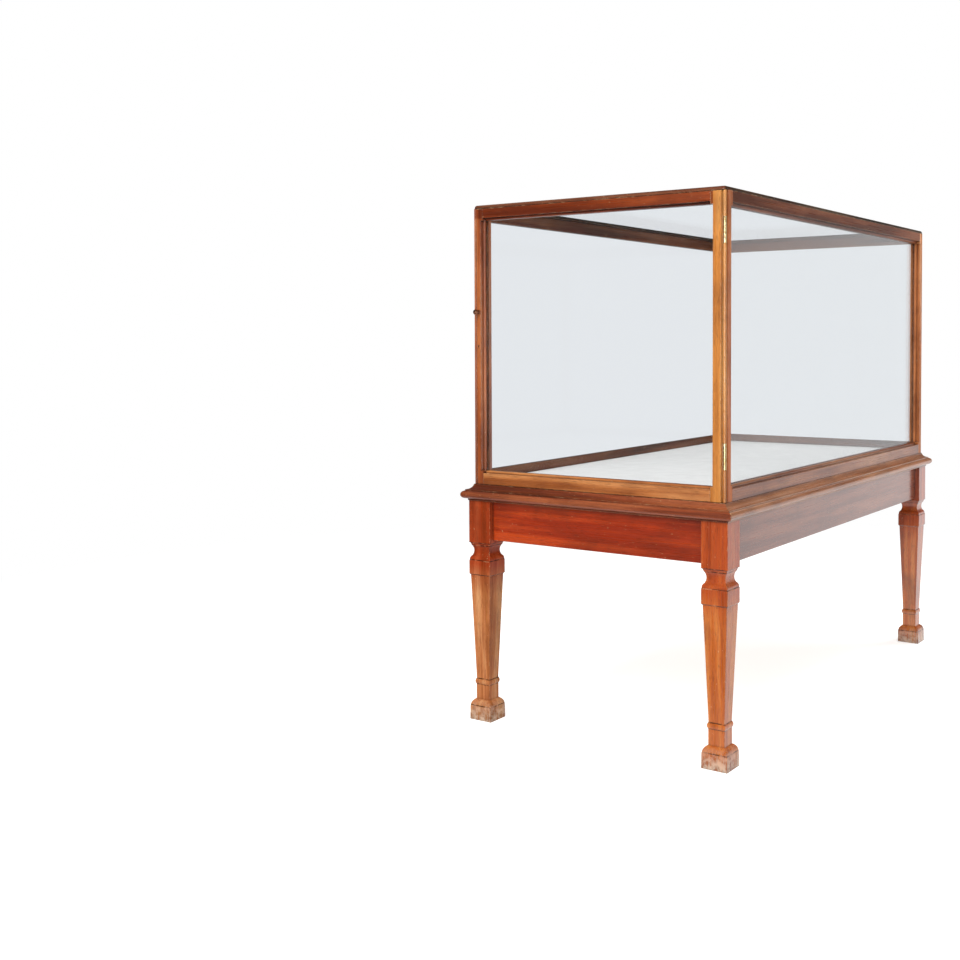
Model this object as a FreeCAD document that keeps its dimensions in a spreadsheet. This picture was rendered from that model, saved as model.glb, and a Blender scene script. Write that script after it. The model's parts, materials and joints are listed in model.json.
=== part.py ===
import FreeCAD, Part
import math
import os
from types import SimpleNamespace

import Sketcher

# Collectors display table: a glazed mahogany case on a four-legged stand.
# Millimetres, +Z up, origin on the floor under the middle of the table.
# The long sides face -Y (front) and +Y (back); the door closes the -X end.

# Driving sizes. Each is one cell of the sheet, under the same name.
SIZES = {
    # overall
    "total_height": 1372,
    "case_length": 1540,
    "case_width": 725,
    "base_top": 632,
    # legs
    "leg_block": 68,
    "leg_stand_out": 11,
    "foot_flare": 0.5,
    "foot_ledge": 0.5,
    "foot_height": 38,
    "foot_shelf": 1,
    "foot_round_out": 11.5,
    "foot_round_height": 16,
    "foot_round_radius": 20,
    "ankle_width": 42,
    "ankle_top": 94,
    "collar_height": 15,
    "collar_bulge_radius": 13,
    "taper_low_width": 41,
    "taper_high_width": 62,
    "cup_width": 68,
    "cup_height": 36,
    "cup_step": 3,
    "cap_step": 1,
    "cap_height": 2,
    "cap_ovolo": 12,
    "cap_ovolo_out": 5,
    "cap_ovolo_height": 10,
    "neck_flare": 0.5,
    "neck_height": 27,
    "neck_radius": 26,
    "neck_fillet": 2,
    "neck_splay": 8,
    "block_step": 2,
    "block_drop": 9,
    # aprons and their tenons
    "apron_height": 104,
    "apron_thickness": 22,
    "apron_inset": 4,
    "tenon_thickness": 10,
    "tenon_spacing": 4,
    "tenon_shoulder": 14,
    "tenon_clearance": 0.2,
    "brace_height": 28,
    "brace_reach": 110,
    "brace_width": 32,
    # base moulding
    "moulding_ledge": 45,
    "moulding_flat": 1.5,
    "cavetto_out": 17,
    "cavetto_drop": 14,
    "cavetto_radius": 17,
    "nose_fillet": 3,
    "nose_radius": 10.5,
    "nose_out": 28,
    "soffit_out": 13,
    "soffit_height": 5,
    "bearer_width": 44,
    "bearer_height": 30,
    "bearer_spacing": 520,
    # deck
    "deck_thickness": 12,
    "lining_thickness": 1.2,
    "deck_gap": 0.4,
    # case framing
    "post_size": 30,
    "bead": 8,
    "quirk_flat": 2,
    "quirk_slope": 3,
    "reveal_depth": 11,
    "stop_depth": 8,
    "stop_width": 8,
    "ovolo_fillet": 1.5,
    "bottom_face": 30,
    "top_face": 26,
    "door_post_reach": 38,
    # glass
    "glass_thickness": 4,
    "glass_bite": 4,
    "glass_gap": 0.2,
    "glass_edge_gap": 0.3,
    # top frame
    "top_thickness": 9,
    "top_width": 42,
    "top_edge_flat": 2,
    "top_corner_ease": 1,
    "top_rebate": 8,
    "top_glass_thickness": 5,
    # door
    "door_thickness": 25,
    "door_gap": 0.8,
    "door_rise": 1,
    "door_reveal": 12,
    "door_stop": 6,
    "door_stop_width": 6.5,
    "door_top_face": 24,
    "hanging_face": 33,
    "lock_stile_face": 22,
    "hinge_offset": 2,
    "head_height": 24,
    # hinges
    "hinge_length": 62,
    "hinge_above_bottom": 108,
    "hinge_below_top": 92,
    "leaf_margin": 3,
    "leaf_thickness": 1.2,
    "leaf_clearance": 0.2,
    "knuckle_gap": 0.3,
    "knuckle_room": 0.5,
    "pin_diameter": 3,
    "pin_clearance": 0.05,
    # knob
    "knob_above_lock": 90,
    "knob_diameter": 14.5,
    "knob_length": 20,
    "knob_neck": 6,
    "knob_crown": 5,
    "rose_diameter": 11,
    "rose_thickness": 2.4,
    "spigot_diameter": 5,
    "spigot_length": 10,
    "spigot_clearance": 0.05,
    # lock
    "lock_above_middle": 2,
    "lock_case_height": 44,
    "lock_wall": 1.2,
    "lock_case_thickness": 10,
    "lock_setback": 8,
    "lock_plate_height": 54,
    "lock_plate_thickness": 1.5,
    "lock_clearance": 0.2,
    "bolt_thickness": 5,
    "bolt_height": 12,
    "bolt_back": 2,
    "bolt_throw": 5,
    "bolt_clearance": 0.3,
    "keyhole_diameter": 4.5,
    "keyhole_slot": 2,
    "keyhole_drop": 7,
    "strike_thickness": 1,
    "strike_height": 34,
    "strike_width": 11,
    # overrun of every cut past the face it opens
    "overrun": 2,
}

KNUCKLES = 5


class Dim:
    """A size that carries its value and the sheet expression it comes from."""

    def __init__(self, value, text):
        self.value = value
        self.text = text

    def join(self, sign, other, value):
        return Dim(value, "(%s %s %s)" % (self.text, sign, text(other)))

    def __add__(self, other):
        return self.join("+", other, self.value + number(other))

    def __sub__(self, other):
        return self.join("-", other, self.value - number(other))

    def __mul__(self, factor):
        return self.join("*", factor, self.value * number(factor))

    def __truediv__(self, factor):
        return self.join("/", factor, self.value / number(factor))

    def __neg__(self):
        return self * -1

    __rmul__ = __mul__


def number(size):
    return size.value if isinstance(size, Dim) else float(size)


def text(size):
    return size.text if isinstance(size, Dim) else "(%r)" % float(size)


doc = FreeCAD.newDocument("DisplayTable")
sheet = doc.addObject("Spreadsheet::Sheet", "Sizes")
for row, (name, value) in enumerate(SIZES.items(), start=1):
    sheet.set("A%d" % row, name)
    sheet.set("B%d" % row, str(value))
    sheet.setAlias("B%d" % row, name)
doc.recompute()
s = SimpleNamespace(**{name: Dim(float(value), "Sizes." + name) for name, value in SIZES.items()})

# Levels and places that several pieces share.
zero = Dim(0.0, "0")
half_length = s.case_length / 2
half_width = s.case_width / 2
rail_top = s.total_height - s.top_thickness
moulding_height = s.cavetto_drop + s.nose_fillet + s.nose_radius * 2 + s.soffit_height
apron_top = s.base_top - moulding_height
apron_bottom = apron_top - s.apron_height
leg_reach = s.leg_block - s.leg_stand_out
low_sight = s.base_top + s.bottom_face + s.stop_width
high_sight = rail_top - s.top_face - s.stop_width
top_round = s.top_thickness - s.top_edge_flat
top_corner_radius = top_round + s.top_corner_ease
door_bottom = s.base_top + s.door_rise
door_top = rail_top - s.door_rise
door_low_edge = s.base_top + s.bottom_face
door_high_edge = door_top - s.door_top_face
door_low_sight = door_low_edge + s.door_stop_width
door_high_sight = door_high_edge - s.door_stop_width
hanging_sight = s.hanging_face + s.door_stop_width
lock_sight = s.lock_stile_face + s.door_stop_width
post_face = s.post_size - s.stop_width
door_post_face = s.door_post_reach - s.stop_width
post_back = s.door_thickness + s.door_gap
bead_radius = s.bead / 2
hinge_line = bead_radius + s.hinge_offset
cheek = hinge_line - s.door_gap / 2
door_edge = hinge_line + s.door_gap / 2
leaf_reach = s.door_thickness - s.leaf_margin
lock_edge = s.bead + s.door_gap
quirk_end = s.bead + s.quirk_flat + s.quirk_slope
glass_front = s.reveal_depth + s.stop_depth
glass_back = glass_front + s.glass_thickness
deck_top = s.base_top + s.deck_thickness + s.lining_thickness
hinge_levels = {"lower": door_bottom + s.hinge_above_bottom, "upper": door_top - s.hinge_below_top}
lock_level = (door_bottom + door_top) / 2 + s.lock_above_middle
knob_level = lock_level + s.knob_above_lock
knob_place = (lock_edge + s.lock_stile_face) / 2
lock_case_depth = s.lock_stile_face - s.lock_wall - lock_edge - s.lock_plate_thickness
bolt_length = s.lock_plate_thickness + lock_case_depth - s.bolt_back

PLANES = {"x": "YZ_Plane", "y": "XZ_Plane", "z": "XY_Plane"}
parts = {}


def keep(label, item):
    item.Label = label
    parts[label] = item
    return item


def new_body(label):
    return keep(label, doc.addObject("PartDesign::Body", label))


def arc(a, b, radius, turn):
    """A vertex reached along an arc: turn 1 goes round anticlockwise, -1 clockwise."""
    return (a, b, radius, turn)


def move(outline, first, second, flip):
    """Carry an outline into the sketch's axes; flip is -1 where that mirrors it."""
    moved = []
    for vertex in outline:
        place = (first(vertex[0]), second(vertex[1]))
        bend = (vertex[2], vertex[3] * flip) if len(vertex) > 2 else ()
        moved.append(place + bend)
    return moved


def edge_between(start, end):
    p = FreeCAD.Vector(number(start[0]), number(start[1]), 0)
    q = FreeCAD.Vector(number(end[0]), number(end[1]), 0)
    if len(end) < 4:
        return Part.LineSegment(p, q), (1, 2)
    radius = number(end[2])
    chord = q - p
    rise = math.sqrt(max(radius ** 2 - (chord.Length / 2) ** 2, 0))
    left = FreeCAD.Vector(-chord.y, chord.x, 0).normalize()
    centre = p + chord / 2 + left * rise * end[3]
    first, last = (p, q) if end[3] > 0 else (q, p)
    angles = [math.atan2(v.y - centre.y, v.x - centre.x) for v in (first, last)]
    circle = Part.Circle(centre, FreeCAD.Vector(0, 0, 1), radius)
    ends = (1, 2) if end[3] > 0 else (2, 1)
    return Part.ArcOfCircle(circle, angles[0], angles[1]), ends


def set_datum(sketch, index, size):
    if isinstance(size, Dim):
        sketch.setExpression("Constraints[%d]" % index, size.text)


def place_point(sketch, geo, end, a, b):
    """Tie one point of a sketch to its two distances from the origin."""
    for kind, size in (("DistanceX", a), ("DistanceY", b)):
        index = sketch.addConstraint(Sketcher.Constraint(kind, -1, 1, geo, end, number(size)))
        set_datum(sketch, index, size)


def set_radius(sketch, geo, radius):
    index = sketch.addConstraint(Sketcher.Constraint("Radius", geo, number(radius)))
    set_datum(sketch, index, radius)


def draw_circle(sketch, a, b, radius):
    centre = FreeCAD.Vector(number(a), number(b), 0)
    circle = Part.Circle(centre, FreeCAD.Vector(0, 0, 1), number(radius))
    geo = sketch.addGeometry(circle, False)
    place_point(sketch, geo, 3, a, b)
    set_radius(sketch, geo, radius)


def draw(sketch, outline):
    """Draw one closed outline and bind every vertex and radius to the sheet."""
    if len(outline) == 1:
        draw_circle(sketch, *outline[0])
        return
    edges = []
    for i, vertex in enumerate(outline):
        geometry, ends = edge_between(outline[i - 1], vertex)
        edges.append((sketch.addGeometry(geometry, False), ends))
    for i, vertex in enumerate(outline):
        geo, ends = edges[i]
        after, after_ends = edges[(i + 1) % len(edges)]
        sketch.addConstraint(Sketcher.Constraint("Coincident", geo, ends[1], after, after_ends[0]))
        place_point(sketch, geo, ends[1], vertex[0], vertex[1])
        if len(vertex) > 2:
            set_radius(sketch, geo, vertex[2])


def sketch_on(body, axis, level, outlines):
    sketch = body.newObject("Sketcher::SketchObject", body.Name + "Sketch")
    origin = [f for f in body.Origin.OriginFeatures if f.Role == PLANES[axis]]
    sketch.AttachmentSupport = [(origin[0], "")]
    sketch.MapMode = "FlatFace"
    offset = FreeCAD.Vector(0, 0, number(level))
    sketch.AttachmentOffset = FreeCAD.Placement(offset, FreeCAD.Rotation())
    if isinstance(level, Dim):
        sketch.setExpression("AttachmentOffset.Base.z", level.text)
    for outline in outlines:
        draw(sketch, outline)
    return sketch


def set_length(feature, low, high):
    feature.Length = number(high) - number(low)
    feature.setExpression("Length", "%s - %s" % (text(high), text(low)))


def pad(body, axis, low, high, *outlines):
    """Fill outlines from low to high along an axis. On y the sketch plane faces -Y."""
    level = -high if axis == "y" else low
    feature = body.newObject("PartDesign::Pad", body.Name + "Pad")
    feature.Profile = sketch_on(body, axis, level, outlines)
    set_length(feature, low, high)
    return feature


def cut(body, axis, low, high, *outlines):
    """Cut outlines out of a body from low to high along an axis."""
    level = -low if axis == "y" else high
    feature = body.newObject("PartDesign::Pocket", body.Name + "Cut")
    feature.Profile = sketch_on(body, axis, level, outlines)
    set_length(feature, low, high)
    return feature


def turned(body, axis_role, outline):
    """A turned form: an outline revolved about the sketch's horizontal axis."""
    feature = body.newObject("PartDesign::Revolution", body.Name + "Turned")
    sketch = sketch_on(body, axis_role, 0, [outline])
    feature.Profile = sketch
    feature.ReferenceAxis = (sketch, ["H_Axis"])
    return feature


def rectangle(low_a, high_a, low_b, high_b):
    return [(low_a, low_b), (high_a, low_b), (high_a, high_b), (low_a, high_b)]


def span(sign, near, far):
    """The range between two distances from the middle, on the side that sign names."""
    return (near, far) if sign > 0 else (-far, -near)


def disc(a, b, radius):
    """A full circle: an outline of one vertex, its centre."""
    return [(a, b, radius)]


def hinge_disc(radius):
    """A circle about the hinge line, in plan."""
    return disc(bead_radius - half_length, bead_radius - half_width, radius)


def corner_plan(side_x, side_y, outline):
    """Carry an outline given as distances in from the end face and the long face."""
    return move(outline, lambda a: (half_length - a) * side_x,
                lambda b: (half_width - b) * side_y, side_x * side_y)


# Legs: one moulded silhouette, worked on all four faces of a square.
def leg_silhouette():
    block_bottom = apron_bottom - s.block_drop
    neck_top = block_bottom - s.neck_splay
    neck_bottom = neck_top - s.neck_height
    cap_top = neck_bottom - s.cap_ovolo_height
    cup_top = cap_top - s.cap_height - s.cap_step
    cup_bottom = cup_top - s.cup_height
    collar_top = s.ankle_top + s.collar_height
    cap = s.cup_width / 2 - s.cap_step
    neck_low = cap - s.cap_ovolo_out
    neck_high = neck_low + s.neck_flare
    round_foot = s.ankle_width / 2 + s.foot_round_out
    round_low = s.foot_height + s.foot_shelf
    foot_top = round_foot + s.foot_ledge
    return [
        (foot_top + s.foot_flare, zero),
        (foot_top, s.foot_height),
        (round_foot, s.foot_height),
        (round_foot, round_low),
        arc(s.ankle_width / 2, round_low + s.foot_round_height, s.foot_round_radius, 1),
        (s.ankle_width / 2, s.ankle_top),
        arc(s.ankle_width / 2, collar_top, s.collar_bulge_radius, 1),
        (s.taper_low_width / 2, collar_top),
        (s.taper_high_width / 2, cup_bottom - s.cup_step),
        (s.cup_width / 2, cup_bottom),
        (s.cup_width / 2, cup_top),
        (cap, cup_top + s.cap_step),
        (cap, cap_top),
        arc(neck_low, neck_bottom, s.cap_ovolo, 1),
        arc(neck_high, neck_top, s.neck_radius, -1),
        (neck_high + s.cap_step, neck_top),
        (neck_high + s.cap_step, neck_top + s.neck_fillet),
        (s.leg_block / 2 - s.block_step, block_bottom),
        (s.leg_block / 2, block_bottom),
        (s.leg_block / 2, apron_top),
    ]


def mirrored_back(chain, middle):
    """The other flank of a silhouette, walked from its top back to its foot."""
    back = []
    for i in range(len(chain) - 1, -1, -1):
        bend = chain[i + 1][2:] if i + 1 < len(chain) else ()
        back.append((middle - chain[i][0], chain[i][1]) + bend)
    return back


def right_flank(chain, middle):
    return [(middle + v[0], v[1]) + v[2:] for v in chain]


def tenon_band():
    """Where an apron's tenon lies, in from the case face, and its height."""
    near = s.apron_inset + (s.apron_thickness - s.tenon_thickness) / 2
    return near, near + s.tenon_thickness, apron_bottom + s.tenon_shoulder, apron_top - s.tenon_shoulder


def leg(label, side_x, side_y):
    body = new_body(label)
    middle_x = (half_length + s.leg_stand_out - s.leg_block / 2) * side_x
    middle_y = (half_width + s.leg_stand_out - s.leg_block / 2) * side_y
    chain = leg_silhouette()
    reach = s.leg_block / 2
    beyond = reach + s.overrun
    pad(body, "y", middle_y - reach, middle_y + reach,
        right_flank(chain, middle_x) + mirrored_back(chain, middle_x))
    ground = -s.overrun
    outside_right = [(middle_y + chain[0][0], ground)] + right_flank(chain[:-1], middle_y) + [
        (middle_y + beyond, chain[-2][1]), (middle_y + beyond, ground)]
    outside_left = mirrored_back(chain[:-1], middle_y) + [
        (middle_y - chain[0][0], ground), (middle_y - beyond, ground),
        (middle_y - beyond, chain[-2][1])]
    cut(body, "x", middle_x - beyond, middle_x + beyond, outside_right, outside_left)
    near, far, low, high = tenon_band()
    room = s.tenon_clearance
    depth = far + s.tenon_spacing - room
    for axis, side, other, half, half_other in (
            ("x", side_x, side_y, half_length, half_width),
            ("y", side_y, side_x, half_width, half_length)):
        low_along, high_along = span(side, half - leg_reach - s.overrun, half - depth)
        a0, a1 = span(other, half_other - far - room, half_other - near + room)
        cut(body, axis, low_along, high_along, rectangle(a0, a1, low - room, high + room))


def apron(label, axis, side):
    body = new_body(label)
    half, half_other = (half_length, half_width) if axis == "x" else (half_width, half_length)
    inner = half - leg_reach
    near, far, low, high = tenon_band()
    a0, a1 = span(side, half_other - s.apron_inset - s.apron_thickness, half_other - s.apron_inset)
    pad(body, axis, -inner, inner, rectangle(a0, a1, apron_bottom, apron_top))
    t0, t1 = span(side, half_other - far, half_other - near)
    reach = half - far - s.tenon_spacing
    pad(body, axis, -reach, reach, rectangle(t0, t1, low, high))


def corner_brace(label, side_x, side_y):
    """A diagonal block across the corner, from apron to apron behind the leg."""
    body = doc.addObject("PartDesign::Body", label)
    inner = s.apron_inset + s.apron_thickness
    far = s.brace_reach + s.brace_width
    outline = [(inner, s.brace_reach), (inner, far), (far, inner), (s.brace_reach, inner)]
    pad(body, "z", apron_top - s.brace_height, apron_top, corner_plan(side_x, side_y, outline))
    return body


# Base moulding: cavetto over a half-round nose, mitred at the corners.
def moulding_section():
    ledge = -s.moulding_ledge
    cavetto_end = s.moulding_flat + s.cavetto_out
    step = s.base_top - s.cavetto_drop
    nose_top = step - s.nose_fillet
    nose_middle = s.nose_out - s.nose_radius
    return [
        (ledge, apron_top),
        (ledge, s.base_top),
        (s.moulding_flat, s.base_top),
        arc(cavetto_end, step, s.cavetto_radius, 1),
        (cavetto_end, nose_top),
        (nose_middle, nose_top),
        arc(s.nose_out, nose_top - s.nose_radius, s.nose_radius, -1),
        arc(nose_middle, nose_top - s.nose_radius * 2, s.nose_radius, -1),
        (s.soffit_out, nose_top - s.nose_radius * 2),
        (s.soffit_out, apron_top),
    ]


def moulding(label, axis, side):
    body = new_body(label)
    half, half_other = (half_length, half_width) if axis == "x" else (half_width, half_length)
    end = half + s.nose_out
    section = move(moulding_section(), lambda o: (half_other + o) * side, lambda z: z, side)
    pad(body, axis, -end, end, section)
    inside, outside = s.moulding_ledge + s.overrun, s.nose_out + s.overrun
    low, high = apron_top - s.overrun, s.base_top + s.overrun
    waste = []
    for end_side in (-1, 1):
        triangle = [(half - inside, half_other - inside), (half + outside, half_other + outside),
                    (half + outside, half_other - inside)]
        along = [(u * end_side, v * side) for u, v in triangle]
        waste.append(along if axis == "x" else [(v, u) for u, v in along])
    cut(body, "z", low, high, *waste)


def bearer(label, side):
    """A cross bearer under the deck, between the long base mouldings."""
    body = new_body(label)
    middle = s.bearer_spacing / 2 * side
    reach = half_width - s.moulding_ledge
    pad(body, "y", -reach, reach,
        rectangle(middle - s.bearer_width / 2, middle + s.bearer_width / 2,
                  s.base_top - s.bearer_height, s.base_top))


def deck(label, low, high):
    body = new_body(label)
    reach = half_width - s.post_size - s.deck_gap
    pad(body, "z", low, high,
        rectangle(s.door_post_reach + s.deck_gap - half_length,
                  half_length - s.post_size - s.deck_gap, -reach, reach))


# Case framing: every member has a reveal, an ovolo stop and a glass groove.
def ovolo_end():
    return s.stop_width - s.ovolo_fillet


def rail_section(face, depth):
    """Depth in from the outer face against distance towards the glass."""
    sight = face + s.stop_width
    groove_front, groove_back = glass_front - s.glass_gap, glass_back + s.glass_gap
    bottom = sight - s.glass_bite
    return [
        (zero, zero), (zero, face), (s.reveal_depth, face),
        (s.reveal_depth, face + s.ovolo_fillet),
        arc(s.reveal_depth + ovolo_end(), sight, ovolo_end(), -1),
        (groove_front, sight), (groove_front, bottom), (groove_back, bottom), (groove_back, sight),
        (depth, sight), (depth, zero),
    ]


def fixed_rail(label, axis, side, low, high, level, face, up):
    body = new_body(label)
    half_other = half_width if axis == "x" else half_length
    section = move(rail_section(face, s.post_size), lambda d: (half_other - d) * side,
                   lambda r: level + r * up, -side * up)
    pad(body, axis, low, high, section)


def glazing_cuts(body, side_x, side_y, face, on_long_face):
    """Stop the reveal and the glass groove of one face between the rails."""
    sight = face + s.stop_width
    outside = sight + s.overrun
    reveal = [
        (-s.overrun, face), (s.reveal_depth, face), (s.reveal_depth, face + s.ovolo_fillet),
        arc(s.reveal_depth + ovolo_end(), sight, ovolo_end(), -1),
        (s.reveal_depth + ovolo_end(), outside), (-s.overrun, outside),
    ]
    groove = rectangle(glass_front - s.glass_gap, glass_back + s.glass_gap,
                       sight - s.glass_bite, outside)
    if on_long_face:
        reveal = [(v[1], v[0]) + ((v[2], -v[3]) if len(v) > 2 else ()) for v in reveal]
        groove = [(v[1], v[0]) for v in groove]
    cut(body, "z", low_sight, high_sight, corner_plan(side_x, side_y, reveal))
    cut(body, "z", low_sight - s.glass_bite, high_sight + s.glass_bite,
        corner_plan(side_x, side_y, groove))


def bead_round():
    """The corner bead from its end-face quirk round to its long-face quirk."""
    return [
        (bead_radius, s.bead),
        arc(zero, bead_radius, bead_radius, 1),
        arc(bead_radius, zero, bead_radius, 1),
        arc(s.bead, bead_radius, bead_radius, 1),
    ]


def long_face_quirk():
    return [(s.bead + s.quirk_flat, bead_radius), (quirk_end, zero)]


def end_face_quirk():
    return [(zero, quirk_end), (bead_radius, s.bead + s.quirk_flat)]


def corner_post(label, side_y):
    """A post at the fixed end, beaded on its corner and grooved on two faces."""
    body = new_body(label)
    outline = end_face_quirk() + bead_round() + long_face_quirk() + [
        (s.post_size, zero), (s.post_size, s.post_size), (zero, s.post_size)]
    pad(body, "z", s.base_top, rail_top, corner_plan(1, side_y, outline))
    glazing_cuts(body, 1, side_y, post_face, True)
    glazing_cuts(body, 1, side_y, post_face, False)


def hinge_post(label):
    """The post the door hangs on, rebated for the door behind a narrow lip."""
    body = new_body(label)
    lip = s.bead + s.quirk_flat
    outline = [(lip, cheek), (lip, bead_radius), (quirk_end, zero), (s.door_post_reach, zero),
               (s.door_post_reach, s.post_size), (post_back, s.post_size), (post_back, cheek)]
    pad(body, "z", s.base_top, rail_top, corner_plan(-1, -1, outline))
    glazing_cuts(body, -1, -1, door_post_face, True)
    seat = rectangle(lip - s.overrun, leaf_reach + s.leaf_clearance,
                     cheek - s.leaf_thickness, cheek + s.overrun)
    for level in hinge_levels.values():
        cut(body, "z", level - s.hinge_length / 2, level + s.hinge_length / 2,
            corner_plan(-1, -1, seat))


def strike_post(label):
    """The post the door locks to; its beaded lip takes the bolt."""
    body = new_body(label)
    outline = bead_round() + long_face_quirk() + [
        (s.door_post_reach, zero), (s.door_post_reach, s.post_size),
        (post_back, s.post_size), (post_back, s.bead)]
    pad(body, "z", s.base_top, rail_top, corner_plan(-1, 1, outline))
    glazing_cuts(body, -1, 1, door_post_face, True)
    front, back = strike_band()
    plate = rectangle(front, back, s.bead - s.strike_thickness, s.bead + s.overrun)
    cut(body, "z", lock_level - s.strike_height / 2, lock_level + s.strike_height / 2,
        corner_plan(-1, 1, plate))
    bolt_front, bolt_back = bolt_band(s.bolt_clearance)
    deep = lock_edge - s.bolt_throw - s.bolt_clearance
    cut(body, "z", lock_level - s.bolt_height / 2 - s.bolt_clearance,
        lock_level + s.bolt_height / 2 + s.bolt_clearance,
        corner_plan(-1, 1, rectangle(bolt_front, bolt_back, deep, s.bead)))


def bolt_band(room):
    middle = s.lock_setback + s.lock_case_thickness / 2
    return middle - s.bolt_thickness / 2 - room, middle + s.bolt_thickness / 2 + room


def strike_band():
    middle = s.lock_setback + s.lock_case_thickness / 2
    return middle - s.strike_width / 2, middle + s.strike_width / 2


def crosspiece(label, low, high):
    """A plain rail between the two door posts, behind the closed door."""
    body = new_body(label)
    reach = half_width - s.post_size
    pad(body, "y", -reach, reach,
        rectangle(post_back - half_length, s.door_post_reach - half_length, low, high))


def pane(label, axis, side, low, high):
    """A fixed pane, standing in the grooves of posts and rails."""
    body = new_body(label)
    half_other = half_width if axis == "x" else half_length
    a0, a1 = span(side, half_other - glass_back, half_other - glass_front)
    bite = s.glass_bite - s.glass_edge_gap
    pad(body, axis, low - bite, high + bite, rectangle(a0, a1, low_sight - bite, high_sight + bite))


# Top frame: one rounded rim, parted at its mitres into four members.
def top_rim():
    body = doc.addObject("PartDesign::Body", "TopRim")
    r = top_corner_radius
    x, y = half_length, half_width
    rim = [
        (x, r - y), (x, y - r), arc(x - r, y, r, 1), (r - x, y), arc(-x, y - r, r, 1),
        (-x, r - y), arc(r - x, -y, r, 1), (x - r, -y), arc(x, r - y, r, 1),
    ][1:]
    inner_x, inner_y = x - s.top_width, y - s.top_width
    hole = rectangle(-inner_x, inner_x, -inner_y, inner_y)
    pad(body, "z", rail_top, s.total_height, rim, hole)
    seat_x, seat_y = inner_x + s.top_rebate, inner_y + s.top_rebate
    rebate = cut(body, "z", s.total_height - s.top_glass_thickness, s.total_height,
                 rectangle(-seat_x, seat_x, -seat_y, seat_y))
    doc.recompute()
    rounding = body.newObject("PartDesign::Fillet", "TopRimRound")
    rounding.Base = (rebate, upper_outer_edges(rebate.Shape))
    rounding.Radius = top_round.value
    rounding.setExpression("Radius", top_round.text)
    return body


def upper_outer_edges(shape):
    """The edges of the rim's top face that lie outside the glass rebate."""
    names = []
    seat_x = (half_length - s.top_width + s.top_rebate).value
    seat_y = (half_width - s.top_width + s.top_rebate).value
    slack = s.glass_edge_gap.value
    for i, edge in enumerate(shape.Edges, start=1):
        box = edge.BoundBox
        level = abs(box.ZMin - s.total_height.value) + abs(box.ZMax - s.total_height.value)
        outside = max(abs(box.XMin), abs(box.XMax)) > seat_x + slack
        outside = outside or max(abs(box.YMin), abs(box.YMax)) > seat_y + slack
        if level < slack and outside:
            names.append("Edge%d" % i)
    return names


def top_member(label, rim, axis, side):
    """One mitred length of the top rim."""
    wedge = doc.addObject("PartDesign::Body", label + "_wedge")
    half, half_other = (half_length, half_width) if axis == "x" else (half_width, half_length)
    inside, outside = s.top_width + s.overrun, s.overrun
    outline = [(-(half - inside), half_other - inside), (half - inside, half_other - inside),
               (half + outside, half_other + outside), (-(half + outside), half_other + outside)]
    outline = [(u, v * side) for u, v in outline]
    if axis == "y":
        outline = [(v, u) for u, v in outline]
    pad(wedge, "z", rail_top - s.overrun, s.total_height + s.overrun, outline)
    member = doc.addObject("Part::Common", label)
    member.Base = rim
    member.Tool = wedge
    keep(label, member)


def top_glass(label):
    body = new_body(label)
    x = half_length - s.top_width + s.top_rebate - s.glass_edge_gap
    y = half_width - s.top_width + s.top_rebate - s.glass_edge_gap
    pad(body, "z", s.total_height - s.top_glass_thickness, s.total_height,
        rectangle(-x, x, -y, y))


# Door: two through stiles, two rails, a pane and its inside beads.
def door_ovolo_end():
    return s.door_stop_width - s.ovolo_fillet


def door_section(face):
    """A door member's depth against distance towards the glass, rebated inside."""
    sight = face + s.door_stop_width
    seat = s.door_reveal + s.door_stop
    return [
        (zero, face), (s.door_reveal, face), (s.door_reveal, face + s.ovolo_fillet),
        arc(s.door_reveal + door_ovolo_end(), sight, door_ovolo_end(), -1),
        (seat, sight), (seat, face), (s.door_thickness, face),
    ]


def door_rail(label, level, face, up):
    body = new_body(label)
    outline = [(zero, zero)] + door_section(face) + [(s.door_thickness, zero)]
    section = move(outline, lambda d: d - half_length, lambda r: level + r * up, up)
    pad(body, "y", hanging_sight - half_width, half_width - lock_sight, section)


def door_glazing_cuts(body, side_y, face):
    """Stop a stile's reveal and glass rebate between the door rails."""
    sight = face + s.door_stop_width
    outside = sight + s.overrun
    reveal = [
        (-s.overrun, face), (s.door_reveal, face), (s.door_reveal, face + s.ovolo_fillet),
        arc(s.door_reveal + door_ovolo_end(), sight, door_ovolo_end(), -1),
        (s.door_reveal + door_ovolo_end(), outside), (-s.overrun, outside),
    ]
    cut(body, "z", door_low_sight, door_high_sight, corner_plan(-1, side_y, reveal))
    rebate = rectangle(s.door_reveal + s.door_stop, s.door_thickness + s.overrun, face, outside)
    cut(body, "z", door_low_edge, door_high_edge, corner_plan(-1, side_y, rebate))


def hanging_stile(label):
    """The hinged stile; its corner bead turns about the hinge line."""
    body = new_body(label)
    outline = end_face_quirk() + bead_round() + [
        (s.bead, door_edge), (s.door_thickness, door_edge),
        (s.door_thickness, hanging_sight), (zero, hanging_sight)]
    pad(body, "z", door_bottom, door_top, corner_plan(-1, -1, outline))
    door_glazing_cuts(body, -1, s.hanging_face)
    waste = rectangle(-s.overrun, s.bead + s.knuckle_room, -s.overrun, bead_radius)
    seat = rectangle(bead_radius, leaf_reach + s.leaf_clearance,
                     door_edge - s.overrun, door_edge + s.leaf_thickness)
    for level in hinge_levels.values():
        low = level - s.hinge_length / 2 - s.knuckle_gap
        high = level + s.hinge_length / 2 + s.knuckle_gap
        cut(body, "z", low, high, hinge_disc(bead_radius + s.knuckle_room))
        cut(body, "z", low, high, corner_plan(-1, -1, waste))
        cut(body, "z", low, high, corner_plan(-1, -1, seat))


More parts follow.
